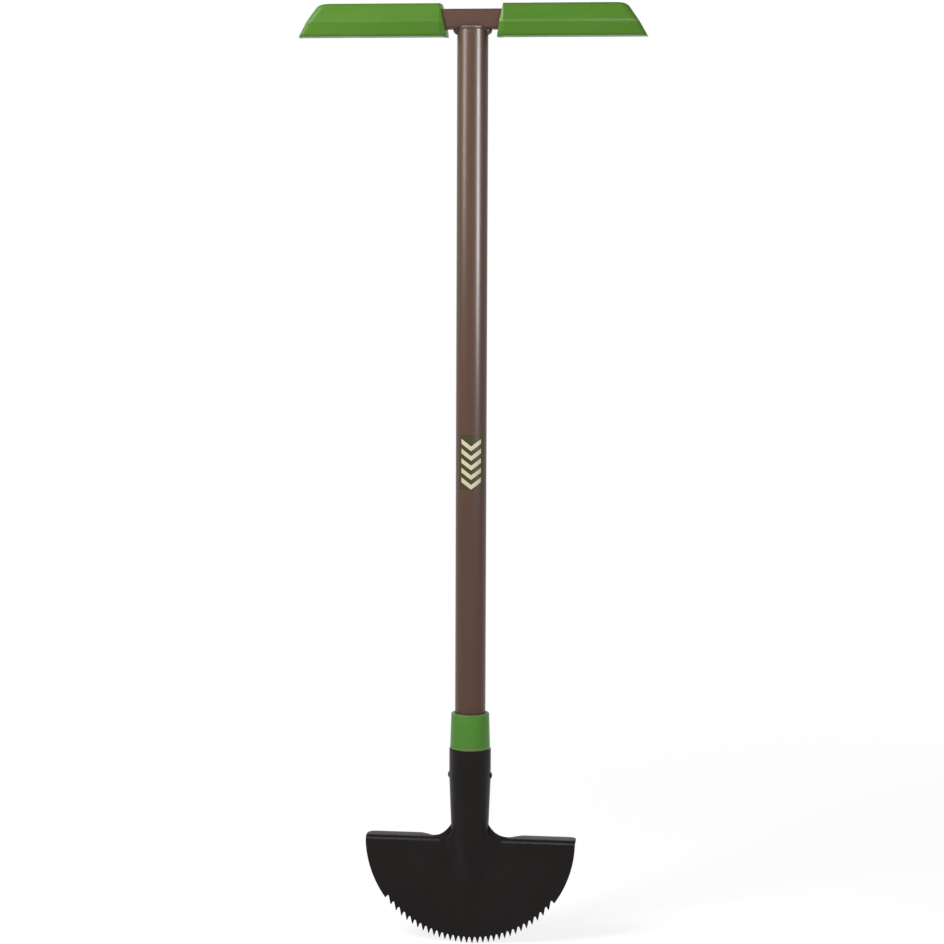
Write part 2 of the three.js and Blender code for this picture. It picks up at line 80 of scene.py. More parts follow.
def share_property(name, description, default):
    return FloatProperty(name=name, description=description, subtype="FACTOR", min=0, default=default)


def angle_property(name, description, degrees):
    return FloatProperty(name=name, description=description, subtype="ANGLE", default=radians(degrees))


def power_property(name, description, default):
    return FloatProperty(name=name, description=description, subtype="POWER", min=0, default=default)


def colour_property(name, description, default):
    return FloatVectorProperty(
        name=name, description=description, subtype="COLOR", size=3, min=0, max=1, default=default
    )


class EdgerSizes(bpy.types.PropertyGroup):
    """Sizes of the details that the looks add to the solids"""

    tube_wall: length_property("Tube wall", "Wall of the shaft's tube and of the crossbar", 0.0015)
    rim_round: length_property("Rim rounding", "Rounding of the tube's cut ends", 0.0003)
    turned_steps: IntProperty(name="Turned steps", description="Steps round the tube", min=24, default=96)
    bar_corner: length_property("Bar corner", "Corner radius of the crossbar", 0.003)
    grip_corner: length_property("Grip corner", "Rounding along the top and bottom of a grip", 0.004)
    grip_ridge: length_property("Grip ridge", "Rounding along the ridge of a grip", 0.0025)
    facet_rise: length_property("Facet rise", "How far the ridge stands out past a grip's edges", 0.004)
    ridge_share: share_property("Ridge share", "Height of the ridge, of the grip's height", 0.45)
    grip_lip: length_property("Grip lip", "How far a grip's lower corners hang below it", 0.0007)
    end_corner: length_property("End corner", "Rounding between a grip's top and its outer end", 0.014)
    upper_slant: angle_property("Upper slant", "Lean of the outer end above the ridge", 33.6)
    lower_slant: angle_property("Lower slant", "Lean of the outer end below the ridge", 31)
    end_run: length_property("End run", "Length of the rounding at the sides of the outer end", 0.008)
    end_narrowing: length_property("End narrowing", "How far that rounding draws the sides in", 0.0045)
    inner_slant: length_property("Inner slant", "Reach of the inner end past its crease, at its foot", 0.007)
    inner_top: length_property("Inner top", "The same at its top", 0.0006)
    inner_narrowing: length_property("Inner narrowing", "How far the inner end draws the sides in", 0.003)
    edge_round: length_property("Edge rounding", "Rounding of a grip's inner edge", 0.0005)
    fit_gap: length_property("Fit gap", "Room between a grip's pocket and the crossbar", 0.0003)
    mark_low: length_property("Mark's low end", "Height of the lowest arrow's point", 0.4850)
    mark_high: length_property("Mark's high end", "Height of the top of the mark's ground", 0.5420)
    mark_half: length_property("Mark's half width", "Half the width of the mark's ground", 0.0118)
    mark_turn: angle_property("Mark's turn", "How far the mark is turned to the right of the front", 7)
    arrow_pitch: length_property("Arrow pitch", "Way from one arrow to the next", 0.0100)
    arrow_stroke: share_property("Arrow stroke", "Thickness of an arrow, of the pitch", 0.5)
    arrow_lean: share_property("Arrow lean", "Rise of an arrow's arms, of their way out", 0.75)
    arrow_reach: share_property("Arrow reach", "Half width of an arrow, of the ground's", 0.86)
    arrow_rows: FloatProperty(name="Arrow rows", description="Pitches that the arrows fill", default=4.6)


class EdgerColours(bpy.types.PropertyGroup):
    """Colours of the finishes"""

    tube: colour_property("Shaft paint", "Brown paint of the shaft and the weld", (0.136, 0.0763, 0.0544))
    bar: colour_property("Crossbar paint", "The same paint on the crossbar", (0.135, 0.0750, 0.0550))
    blade: colour_property("Blade coat", "Black coat of the blade", (0.0155, 0.0119, 0.0120))
    rivet: colour_property("Rivet coat", "Black coat of the rivet", (0.0175, 0.0150, 0.0150))
    grip: colour_property("Grip plastic", "Green of the grips", (0.1025, 0.2675, 0.0269))
    # Painted highlight: the paler green painted along a grip's ridge
    grip_ridge_highlight: colour_property("Grip ridge highlight", "Paler green along a grip's ridge", (0.1875, 0.375, 0.125))
    collar: colour_property("Collar plastic", "Green of the collar", (0.1025, 0.2975, 0.0413))
    # Painted highlight: the tan painted along the collar's rounded top and bottom edges
    collar_edge_highlight: colour_property("Collar edge highlight", "Tan along the collar's edges", (0.2625, 0.2875, 0.1625))
    mark: colour_property("Printed mark", "Cream ink of the arrows on the shaft", (0.875, 0.825, 0.5625))
    mark_ground: colour_property("Mark's ground", "Olive ground under the arrows", (0.075, 0.065, 0.025))


class EdgerStudio(bpy.types.PropertyGroup):
    """Camera, lamps and floor"""

    camera_distance: length_property("Camera distance", "Level distance from shaft to camera", 2.669)
    camera_height: length_property("Camera height", "Height of the camera above the floor", 0.761)
    camera_turn: angle_property("Camera turn", "How far the camera stands to the right of the front", 7.03)
    camera_tilt: angle_property("Camera tilt", "How far the camera looks down", 5.545)
    camera_roll: angle_property("Camera roll", "Turn of the picture about its middle", 0.22)
    camera_pan: angle_property("Camera pan", "How far the camera looks past the shaft to the right", 0.019)
    lens: FloatProperty(name="Lens", description="Focal length on a 36 mm sensor", default=98.07)
    left_lamp: power_property("Left lamp", "Power of the soft lamp on the left", 15.6)
    right_lamp: power_property("Right lamp", "Power of the soft lamp on the right", 6.0)
    top_lamp: power_property("Top lamp", "Power of the wide lamp overhead", 2.4)
    back_lamp: power_property("Back lamp", "Power of the soft lamp behind the tool", 11.2)
    left_gleam: power_property("Left gleam", "Power of the lamp mirrored on the left", 70.0)
    right_gleam: power_property("Right gleam", "Power of the lamp mirrored on the right", 172.0)
    top_gleam: power_property("Top gleam", "Power of the lamp mirrored along the treads' bend", 130.0)
    sky: FloatProperty(name="Sky", description="Strength of the light from all round", default=0.24)
    floor_shade: share_property("Floor shade", "Share of the light that the seen floor gives back", 0.4375)
    floor_glow: share_property("Floor glow", "Strength of the seen floor's own light", 0.79)
    fade_start: length_property("Fade start", "Way out at which the floor starts to turn white", 0.5)
    fade_end: length_property("Fade end", "Way out at which it is all white", 1.6)


def props():
    return bpy.context.scene.edger


# Meshes


def finished(bm, name, material, node, smooth_angle=SMOOTH_ANGLE):
    """Turns a bmesh into a piece of the tool that stands for the named solid."""
    mesh = bpy.data.meshes.new(name)
    bm.to_mesh(mesh)
    bm.free()
    mesh.shade_smooth()
    mesh.set_sharp_from_angle(angle=smooth_angle)
    piece = bpy.data.objects.new(name, mesh)
    bpy.context.scene.collection.objects.link(piece)
    mesh.materials.append(material)
    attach(piece, BODY)
    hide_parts(node)


def merged_copy(node):
    """The solid's mesh as a bmesh whose loose triangles are joined."""
    bm = bmesh.new()
    bm.from_mesh(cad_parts[node].data)
    bmesh.ops.remove_doubles(bm, verts=bm.verts, dist=MERGE)
    return bm


def spun(profile):
    """Turns a closed profile of (radius, height) about Z."""
    bm = bmesh.new()
    ring = [bm.verts.new((radius, 0, height)) for radius, height in profile]
    edges = [bm.edges.new(pair) for pair in zip(ring, ring[1:] + ring[:1])]
    bmesh.ops.spin(
        bm,
        geom=ring + edges,
        cent=(0, 0, 0),
        axis=(0, 0, 1),
        angle=2 * pi,
        steps=props().sizes.turned_steps,
        use_merge=True,
    )
    bmesh.ops.remove_doubles(bm, verts=bm.verts, dist=MERGE)
    bmesh.ops.recalc_face_normals(bm, faces=bm.faces)
    return bm


def round_edges(bm, edges, offset, segments):
    bmesh.ops.bevel(
        bm,
        geom=list(edges),
        offset=offset,
        offset_type="OFFSET",
        affect="EDGES",
        segments=segments,
        profile=0.5,
        material=-1,
        clamp_overlap=True,
    )


def level_rings(bm, places):
    """Level edges of a turned piece that lie on the rings of one of the (radius, height) places."""

    def on_ring(vert):
        return any(
            abs(vert.co.xy.length - radius) < RING_MATCH and abs(vert.co.z - height) < RING_MATCH
            for radius, height in places
        )

    def level(edge):
        return abs(edge.verts[0].co.z - edge.verts[1].co.z) < TINY

    return [edge for edge in bm.edges if level(edge) and on_ring(edge.verts[0]) and on_ring(edge.verts[1])]


def arc(centre_x, centre_y, radius, start, end, steps):
    """Points of an arc, both ends included."""
    angles = [start + (end - start) * i / steps for i in range(steps + 1)]
    return [(centre_x + radius * cos(a), centre_y + radius * sin(a)) for a in angles]


def bridged(bm, rings):
    """Bands of faces between a row of closed rings of points. Returns the edges of each ring."""
    loops = []
    for ring in rings:
        verts = [bm.verts.new(point) for point in ring]
        loops.append([bm.edges.new(pair) for pair in zip(verts, verts[1:] + verts[:1])])
    for one, other in zip(loops, loops[1:]):
        bmesh.ops.bridge_loops(bm, edges=one + other)
    return loops


# Finishes


def is_source(value):
    """Whether a value is a (node, output) pair, and not a number or a colour."""
    return isinstance(value, tuple) and isinstance(value[0], bpy.types.Node)


class Nodes:
    """Fills a node tree. What makes a node returns it as a source, a (node, output) pair."""

    def __init__(self, tree):
        self.tree = tree
        tree.nodes.clear()

    def add(self, kind, x, y, **settings):
        made = self.tree.nodes.new(kind)
        made.location = (x, y)
        for key, value in settings.items():
            setattr(made, key, value)
        return made

    def feed(self, value, target, socket):
        """Links a source to a socket, or writes a plain value there."""
        if is_source(value):
            self.tree.links.new(value[0].outputs[value[1]], target.inputs[socket])
        else:
            target.inputs[socket].default_value = value

    def ranged(self, x, y, source, low, high, to_low, to_high, **settings):
        made = self.add("ShaderNodeMapRange", x, y, **settings)
        for socket, value in (("From Min", low), ("From Max", high), ("To Min", to_low), ("To Max", to_high)):
            self.feed(value, made, socket)
        self.feed(source, made, "Value")
        return made, "Result"

    def maths(self, x, y, operation, first, second=None):
        made = self.add("ShaderNodeMath", x, y, operation=operation)
        self.feed(first, made, 0)
        if second is not None:
            self.feed(second, made, 1)
        return made, 0

    def product(self, x, y, *factors):
        total = factors[0]
        for i, factor in enumerate(factors[1:]):
            total = self.maths(x + 150 * i, y, "MULTIPLY", total, factor)
        return total

    def mixed(self, x, y, factor, first, second):
        """A colour mix. Each colour is a plain one or a source."""
        made = self.add("ShaderNodeMix", x, y, data_type="RGBA")
        self.feed(factor, made, "Factor")
        for socket, colour in ((6, first), (7, second)):
            self.feed(colour if is_source(colour) else (*colour, 1), made, socket)
        return made, 2

    def mixed_value(self, x, y, factor, first, second):
        made = self.add("ShaderNodeMix", x, y, data_type="FLOAT")
        self.feed(factor, made, "Factor")
        self.feed(first, made, 2)
        self.feed(second, made, 3)
        return made, 0

    def mixed_shader(self, x, y, factor, first, second):
        made = self.add("ShaderNodeMixShader", x, y)
        for socket, value in enumerate((factor, first, second)):
            self.feed(value, made, socket)
        return made, 0

    def glow(self, x, y, kind, strength):
        """A white light of its own: an Emission or a Background node."""
        made = self.add(kind, x, y)
        self.feed((1, 1, 1, 1), made, "Color")
        self.feed(strength, made, "Strength")
        return made, 0

    def seen_white(self, x, y):
        """One where a ray comes from the camera, a mirror or a glass, for a white background."""
        path = self.add("ShaderNodeLightPath", x, y)
        total = (path, "Is Camera Ray")
        for i, output in enumerate(("Is Glossy Ray", "Is Transmission Ray")):
            total = self.maths(x + 200 * (i + 1), y, "MAXIMUM", total, (path, output))
        return total


class Finish(Nodes):
    """A piece's material on the object's own coordinates, built left to right."""

    def __init__(self, name):
        self.material = bpy.data.materials.new(name)
        self.material.use_nodes = True
        super().__init__(self.material.node_tree)
        output = self.add("ShaderNodeOutputMaterial", 1200, 0)
        self.surface = self.add("ShaderNodeBsdfPrincipled", 900, 0)
        self.feed((self.surface, "BSDF"), output, "Surface")
        self.place = self.add("ShaderNodeTexCoord", -1200, 0)

    def noise(self, x, y, scale, detail=2, stretch=(1, 1, 1)):
        """Even noise, with a scale in cells a metre."""
        mapping = self.add("ShaderNodeMapping", x - 200, y)
        self.feed(stretch, mapping, "Scale")
        self.feed((self.place, "Object"), mapping, "Vector")
        made = self.add("ShaderNodeTexNoise", x, y)
        self.feed(scale, made, "Scale")
        self.feed(detail, made, "Detail")
        self.feed((mapping, "Vector"), made, "Vector")
        return made, "Fac"

    def axes(self, x, y):
        """A node whose outputs are X, Y and Z."""
        made = self.add("ShaderNodeSeparateXYZ", x, y)
        self.feed((self.place, "Object"), made, "Vector")
        return made

    def bump(self, x, y, source, strength, distance, below=None):
        made = self.add("ShaderNodeBump", x, y)
        self.feed(strength, made, "Strength")
        self.feed(distance, made, "Distance")
        self.feed(source, made, "Height")
        if below:
            self.feed(below, made, "Normal")
        return made, "Normal"

    def done(self, colour, roughness, normal, gloss):
        """Feeds the surface and returns the material."""
        for socket, value in (
            ("Base Color", colour),
            ("Roughness", roughness),
            ("Normal", normal),
            ("Specular IOR Level", gloss),
        ):
            self.feed(value, self.surface, socket)
        return self.material


def shade(colour, factor):
    return tuple(channel * factor for channel in colour)


def paint(name, colour, roughness, gloss, mark=False):
    """Brown baked paint on steel: a fine orange peel, faint cloudiness, and small places that handling has
    left a little rougher.
    """
    s = Finish(name)
    cloud = s.noise(-700, 400, scale=9, detail=4, stretch=(1, 1, 0.35))
    tone = s.ranged(-500, 400, cloud, 0.3, 0.7, 0.0, 1.0)
    base = s.mixed(-250, 400, tone, shade(colour, 0.93), shade(colour, 1.07))
    speck = s.noise(-700, 120, scale=2600, detail=1)
    specked = s.ranged(-500, 120, speck, 0.62, 0.8, 0.0, 0.35)
    base = s.mixed(-50, 300, specked, base, shade(colour, 1.6))
    rub = s.noise(-700, -150, scale=120, detail=6, stretch=(1, 1, 0.12))
    rough = s.ranged(-500, -150, rub, 0.4, 0.75, roughness - 0.01, roughness + 0.02)
    peel = s.noise(-700, -420, scale=700)
    grain = s.noise(-700, -700, scale=4200, detail=1)
    fine = s.bump(300, -700, grain, strength=0.12, distance=0.00004)
    relief = s.bump(500, -420, peel, strength=0.18, distance=0.00012, below=fine)
    if mark:
        base, rough = printed_mark(s, base, rough)
    return s.done(base, rough, relief, gloss)


def printed_mark(s, base, rough):
    """Plain arrows down the front of the shaft that point to the blade, in cream ink on an olive ground."""
    sizes, colours = props().sizes, props().colours
    turned = s.add("ShaderNodeMapping", -1100, 900)
    s.feed((0, 0, -sizes.mark_turn), turned, "Rotation")
    s.feed((s.place, "Object"), turned, "Vector")
    axes = s.add("ShaderNodeSeparateXYZ", -900, 900)
    s.feed((turned, "Vector"), axes, "Vector")
    side = s.maths(-700, 900, "ABSOLUTE", (axes, "X"))

    inside = s.maths(-500, 900, "LESS_THAN", side, sizes.mark_half)
    front = s.maths(-700, 1080, "LESS_THAN", (axes, "Y"), 0.0)
    above = s.maths(-700, 1240, "GREATER_THAN", (axes, "Z"), sizes.mark_low)
    below = s.maths(-700, 1400, "LESS_THAN", (axes, "Z"), sizes.mark_high)
    wear_and_sheen = s.noise(-100, 1500, scale=900, detail=4)
    wear_and_sheen_mask = s.ranged(100, 1500, wear_and_sheen, 0.3, 0.42, 0.82, 1.0)
    inked = s.product(-300, 1000, inside, front, above, below, wear_and_sheen_mask)

    rise = s.maths(-500, 700, "MULTIPLY", side, -sizes.arrow_lean)
    way = s.maths(-300, 700, "ADD", (axes, "Z"), rise)
    shifted = s.maths(-200, 620, "SUBTRACT", way, sizes.mark_low)
    turns = s.maths(-150, 700, "DIVIDE", shifted, sizes.arrow_pitch)
    share = s.maths(0, 700, "FRACT", turns)
    line = s.maths(150, 700, "LESS_THAN", share, sizes.arrow_stroke)
    first = s.maths(150, 820, "GREATER_THAN", turns, 0.0)
    last = s.maths(150, 940, "LESS_THAN", turns, sizes.arrow_rows)
    near = s.maths(-300, 560, "LESS_THAN", side, sizes.mark_half * sizes.arrow_reach)
    arrow = s.product(300, 700, line, near, first, last)

    ink = s.mixed(500, 800, arrow, colours.mark_ground, colours.mark)
    return s.mixed(700, 600, inked, base, ink), s.mixed_value(700, 300, inked, rough, 0.48)


def black_coat(name, colour, roughness):
    """Black powder coat: fine pimples, faint greyer drifts, and dulled patches."""
    s = Finish(name)
    drift = s.noise(-700, 400, scale=16, detail=5)
    tone = s.ranged(-500, 400, drift, 0.32, 0.68, 0.0, 1.0)
    base = s.mixed(-250, 400, tone, shade(colour, 0.8), shade(colour, 1.25))
    scuff = s.noise(-700, 120, scale=160, detail=8, stretch=(1, 1, 0.3))
    scuffed = s.ranged(-500, 120, scuff, 0.66, 0.8, 0.0, 0.3)
    base = s.mixed(-50, 300, scuffed, base, shade(colour, 2.4))
    rough = s.ranged(-500, -150, drift, 0.3, 0.7, roughness - 0.06, roughness + 0.08)
    pimple = s.noise(-700, -420, scale=900)
    grain = s.noise(-700, -700, scale=3800, detail=1)
    fine = s.bump(300, -700, grain, strength=0.2, distance=0.00005)
    relief = s.bump(500, -420, pimple, strength=0.25, distance=0.00015, below=fine)
    return s.done(base, rough, relief, gloss=0.11)


def green_plastic(name, colour, roughness, edges, pale):
    """Moulded green plastic: slow flow drifts, a fine grain and dull handled places.

    Each edge is a (height, reach, depth) at which a painted highlight, a paler band, lies along the plastic.
    """
    s = Finish(name)
    flow = s.noise(-700, 400, scale=22, detail=3, stretch=(0.35, 1, 1))
    tone = s.ranged(-500, 400, flow, 0.3, 0.7, 0.0, 1.0)
    base = s.mixed(-250, 400, tone, shade(colour, 0.93), shade(colour, 1.08))
    dust = s.noise(-700, 120, scale=1500)
    dusty = s.ranged(-500, 120, dust, 0.66, 0.82, 0.0, 0.2)
    base = s.mixed(-50, 300, dusty, base, shade(colour, 1.5))
    axes = s.axes(-700, 900)
    # Painted highlights: a paler band along each given edge or ridge, where a rounded edge would catch the
    # light, broken up by noise
    sheen_noise = s.noise(-500, 700, scale=30, detail=4, stretch=(0.6, 1, 1))
    sheen_breaks = s.ranged(-300, 700, sheen_noise, 0.42, 0.6, 0.6, 1.0)
    for i, (height, reach, depth) in enumerate(edges):
        y = 900 + 250 * i
        offset = s.maths(-500, y, "SUBTRACT", (axes, "Z"), height)
        away = s.maths(-350, y, "ABSOLUTE", offset)
        band = s.ranged(-200, y, away, 0.3 * reach, reach, depth, 0.0)
        wear_and_sheen_mask = s.product(0, y, band, sheen_breaks)
        base = s.mixed(200, y - 400, wear_and_sheen_mask, base, pale)
    hand = s.noise(-700, -150, scale=45, detail=4)
    rough = s.ranged(-500, -150, hand, 0.3, 0.7, roughness - 0.05, roughness + 0.09)
    wave = s.noise(-700, -420, scale=60, stretch=(0.4, 1, 1))
    grain = s.noise(-700, -700, scale=2400)
    fine = s.bump(300, -700, grain, strength=0.22, distance=0.00006)
    relief = s.bump(500, -420, wave, strength=0.12, distance=0.0006, below=fine)
    return s.done(base, rough, relief, gloss=0.2)


def weld_paint(name, colour, roughness):
    """The shaft's paint over a rippled bead: the ripples go round the tube."""
    s = Finish(name)
    axes = s.axes(-900, 0)
    angle = s.maths(-700, 0, "ARCTAN2", (axes, "Y"), (axes, "X"))
    turns = s.maths(-500, 0, "MULTIPLY", angle, 42.0)
    wobble = s.noise(-500, -250, scale=400)
    shift = s.ranged(-300, -250, wobble, 0.0, 1.0, -1.2, 1.2)
    phase = s.maths(-300, 0, "ADD", turns, shift)
    ripple = s.maths(-100, 0, "SINE", phase)
    grain = s.noise(-100, -500, scale=2500)
    fine = s.bump(300, -500, grain, strength=0.2, distance=0.00006)
    relief = s.bump(500, -200, ripple, strength=0.45, distance=0.0003, below=fine)
    # Painted light and shade of the ripples: the colour is lighter on their crests and darker in their
    # troughs
    tone = s.ranged(100, 250, ripple, -1.0, 1.0, 0.0, 1.0)
    base = s.mixed(300, 250, tone, shade(colour, 0.8), shade(colour, 1.12))
    return s.done(base, roughness, relief, gloss=0.3)


# Pieces


class EDGER_OT_shaft(bpy.types.Operator):
    """Build the painted steel tube of the shaft"""

    bl_idname = "edger.shaft"
    bl_label = "Shaft tube"

    def execute(self, context):
        sizes = props().sizes
        low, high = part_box("main_tube")
        outer = high.x
        inner = outer - sizes.tube_wall
        profile = [(inner, low.z), (outer, low.z), (outer, high.z), (inner, high.z)]
        bm = spun(profile)
        round_edges(bm, level_rings(bm, profile), sizes.rim_round, 2)
        material = paint("Shaft paint", props().colours.tube, roughness=0.33, gloss=0.18, mark=True)
        finished(bm, "shaft_tube", material, "main_tube")
        return {"FINISHED"}


class EDGER_OT_crossbar(bpy.types.Operator):
    """Build the flat-sided steel tube across the top of the shaft"""

    bl_idname = "edger.crossbar"
    bl_label = "Crossbar"

    def execute(self, context):
        sizes = props().sizes
        low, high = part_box("crossbar")
        bm = bmesh.new()
        bmesh.ops.create_cube(bm, size=1)
        bmesh.ops.scale(bm, vec=high - low, verts=bm.verts)
        bmesh.ops.translate(bm, vec=(low + high) / 2, verts=bm.verts)
        half = (high.x - low.x) / 2
        long_edges = [e for e in bm.edges if abs(e.verts[0].co.x - e.verts[1].co.x) > half]
        round_edges(bm, long_edges, sizes.bar_corner, 5)
        ends = [f for f in bm.faces if abs(f.normal.x) > 0.9]
        bmesh.ops.inset_individual(bm, faces=ends, thickness=sizes.tube_wall, use_even_offset=True)
        mouths = [e for f in ends for e in f.edges]
        bmesh.ops.delete(bm, geom=ends, context="FACES_ONLY")
        bmesh.ops.bridge_loops(bm, edges=mouths)
        bmesh.ops.recalc_face_normals(bm, faces=bm.faces)
        material = paint("Crossbar paint", props().colours.bar, roughness=0.5, gloss=0.1)
        finished(bm, "handle_crossbar", material, "crossbar")
        return {"FINISHED"}


class EDGER_OT_weld(bpy.types.Operator):
    """Build the weld bead between the shaft and the crossbar"""

    bl_idname = "edger.weld"
    bl_label = "Weld bead"

    def execute(self, context):
        bm = merged_copy("weld_bead")
        material = weld_paint("Weld paint", props().colours.tube, roughness=0.34)
        finished(bm, "handle_weld", material, "weld_bead", smooth_angle=radians(50))
        return {"FINISHED"}


class EDGER_OT_collar(bpy.types.Operator):
    """Build the plastic collar on the socket's rim, with its spigot"""

    bl_idname = "edger.collar"
    bl_label = "Collar"

    def execute(self, context):
        bm = merged_copy("ferrule")
        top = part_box("ferrule")[1].z
        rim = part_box("blade")[1].z
        # Painted highlights: pale tan bands along the collar's rounded top edge and along its lower edge
        # above the socket's rim
        top_edge, low_edge = (top - 0.0004, 0.0014, 0.5), (rim + 0.0019, 0.0013, 1.0)
        colours = props().colours
        edges, pale = [top_edge, low_edge], colours.collar_edge_highlight
        material = green_plastic("Collar plastic", colours.collar, 0.4, edges, pale)
        finished(bm, "socket_collar", material, "ferrule")
        return {"FINISHED"}


CORNER_STEPS = 8  # round each corner of a grip's section
RIDGE_STEPS = 5  # round its ridge
END_STEPS = 8  # along the rounding of a grip's outer end
EDGE_STEPS = 3  # round a grip's inner edge
EDGE_FADE = 0.012  # way from the ridge at which the inner edge's rounding drops in full
FLARE_SHARES = (0.7, 0.4, 0.15, 0.0)  # places along the flare of the inner end, from the edge to the crease
SECTION_HOLD = 0.0007  # how near a flat's holding points lie to its rounded sides
END_HOLD = 0.001  # how near a holding ring lies to a rounded end


def with_holds(line, hold):
    """The line with a point near each end of its long straight runs, which keeps the flats flat."""
    out = [line[0]]
    for (y0, z0), (y1, z1) in zip(line, line[1:]):
        length = hypot(y1 - y0, z1 - z0)
        if length > 4 * hold:
            for share in (hold / length, 1 - hold / length):
                out.append((y0 + (y1 - y0) * share, z0 + (z1 - z0) * share))
        out.append((y1, z1))
    return out


class GripShape:
    """Section and ends of a grip, in the handle's own heights: zero is the crossbar's axis.

    The rings are the left grip's. The right one is its mirror image.
    """

    def __init__(self, node):
        self.sizes = props().sizes
        low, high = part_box(node)
        bar_low, bar_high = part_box("crossbar")
        self.axis_z = (bar_low.z + bar_high.z) / 2
        self.bar_x = bar_high.x
        self.pocket_y = (bar_high.y - bar_low.y) / 2 + self.sizes.fit_gap
        self.pocket_z = (bar_high.z - bar_low.z) / 2 + self.sizes.fit_gap
        self.is_right = high.x > 0
        self.end_x = max(high.x, -low.x)
        self.crease_x = min(abs(low.x), abs(high.x)) + self.sizes.inner_slant
        self.top = high.z - self.axis_z
        self.bottom = low.z - self.axis_z + self.sizes.grip_lip
        self.ridge_y = high.y
        self.ridge_z = self.bottom + (self.top - self.bottom) * self.sizes.ridge_share

    def half_section(self):
        """Front half from the top edge to the bottom edge, as (way out from the axis, height)."""
        s = self.sizes
        upper_lean = atan2(s.facet_rise, self.top - self.ridge_z)
        lower_lean = atan2(s.facet_rise, self.ridge_z - self.bottom)
        edge_y = self.ridge_y - s.facet_rise
        upper_y = edge_y - s.grip_corner * tan((pi / 2 - upper_lean) / 2)
        lower_y = edge_y - s.grip_corner * tan((pi / 2 - lower_lean) / 2)
        ridge_y = self.ridge_y - s.grip_ridge / cos((upper_lean + lower_lean) / 2)
        upper_z, lower_z = self.top - s.grip_corner, self.bottom + s.grip_corner
        line = [(upper_y / 2, self.top)]
        line += arc(upper_y, upper_z, s.grip_corner, pi / 2, upper_lean, CORNER_STEPS)
        line += arc(ridge_y, self.ridge_z, s.grip_ridge, upper_lean, -lower_lean, RIDGE_STEPS)
        line += arc(lower_y, lower_z, s.grip_corner, -lower_lean, -pi / 2, CORNER_STEPS)
        line.append((lower_y / 2, self.bottom))
        return with_holds(line, SECTION_HOLD)

    def outer_end(self, z):
        """Way out of the outer end: slanted below and above the ridge, and rounded into the top."""
        s = self.sizes
        corner_x = self.end_x - (self.ridge_z - self.bottom) * tan(s.lower_slant)
        turn = pi / 2 - s.upper_slant
        if self.top - z < s.end_corner * (1 - cos(turn)):
            top_x = corner_x - (self.top - self.ridge_z) * tan(s.upper_slant)
            centre_x = top_x - s.end_corner * tan(turn / 2)
            drop = z - self.top + s.end_corner
            return centre_x + sqrt(max(s.end_corner**2 - drop**2, 0))
        if z > self.ridge_z:
            return corner_x - (z - self.ridge_z) * tan(s.upper_slant)
        return corner_x + (self.ridge_z - z) * tan(s.lower_slant)

    def inner_end(self, z):
        s = self.sizes
        share = (z - self.bottom) / (self.top - self.bottom)
        return self.crease_x - s.inner_slant - (s.inner_top - s.inner_slant) * share

    def flared_end(self, z, share):
        """Way out at a share of the flare, from nought at the crease to one at the inner end."""
        return self.crease_x + (self.inner_end(z) - self.crease_x) * share

    def flare(self, z, share):
        """How far the flare draws the sides in there."""
        s = self.sizes
        return s.inner_narrowing * share * (self.crease_x - self.inner_end(z)) / s.inner_slant

    def ring(self, place_at, inset, lip, drop=0.0):
        """The whole section, drawn in across by an inset, and each point where its height puts it."""
        front = []
        for y, z in self.half_section():
            below = max(self.ridge_z - z, 0) / (self.ridge_z - self.bottom)
            away = min(abs(z - self.ridge_z) / EDGE_FADE, 1)
            height = z - lip * below**2 - drop * (1 if z > self.ridge_z else -1) * away**2
            front.append((-place_at(z), inset(z) - y, self.axis_z + height))
        return front + [(x, -y, z) for x, y, z in reversed(front)]

    def pocket_ring(self, place_at):
        """The pocket's mouth on the same rays as the section's points."""
        ring = []
        for _, y, z in self.ring(lambda height: 0.0, lambda height: 0.0, 0.0):
            height = z - self.axis_z
            scale = min(self.pocket_y / max(abs(y), TINY), self.pocket_z / max(abs(height), TINY))
            ring.append((-place_at(height * scale), y * scale, self.axis_z + height * scale))
        return ring

    def inner_rings(self):
        """Pocket, rounded inner edge and flare."""
        s = self.sizes
        rings = [self.pocket_ring(lambda z: self.bar_x + s.fit_gap), self.pocket_ring(self.inner_end)]
        for i in range(EDGE_STEPS + 1):
            turn = pi / 2 * i / EDGE_STEPS
            back, draw = s.edge_round * (1 - sin(turn)), s.edge_round * (1 - cos(turn))
            place_at, inset = lambda z: self.inner_end(z) + draw, lambda z: self.flare(z, 1) + back
            rings.append(self.ring(place_at, inset, s.grip_lip, back))
        for share in FLARE_SHARES:
            place_at, inset = lambda z: self.flared_end(z, share), lambda z: self.flare(z, share)
            rings.append(self.ring(place_at, inset, s.grip_lip * share))
        return rings

    def outer_rings(self):
        """Long facets between two holding rings, and the rounded outer end."""
        s = self.sizes
        rings = [
            self.ring(lambda z: self.crease_x + END_HOLD, lambda z: 0.0, 0.0),
            self.ring(lambda z: self.outer_end(z) - s.end_run - END_HOLD, lambda z: 0.0, 0.0),
        ]
        for i in range(END_STEPS + 1):
            turn = pi / 2 * i / END_STEPS
            back, draw = s.end_run * (1 - sin(turn)), s.end_narrowing * (1 - cos(turn))
            lip = s.grip_lip * (i / END_STEPS) ** 3
            rings.append(self.ring(lambda z: self.outer_end(z) - back, lambda z: draw, lip))
        return rings


def grip_mesh(shape):
    """A grip as one closed skin."""
    bm = bmesh.new()
    loops = bridged(bm, shape.inner_rings() + shape.outer_rings())
    bmesh.ops.edgeloop_fill(bm, edges=loops[0])
    half = len(loops[-1]) // 2
    front, back = loops[-1][: half - 1], loops[-1][half:-1]
    bmesh.ops.bridge_loops(bm, edges=front + back)
    if shape.is_right:
        bmesh.ops.scale(bm, vec=(-1, 1, 1), verts=bm.verts)
    bmesh.ops.remove_doubles(bm, verts=bm.verts, dist=TINY)
    bmesh.ops.recalc_face_normals(bm, faces=bm.faces)
    return bm


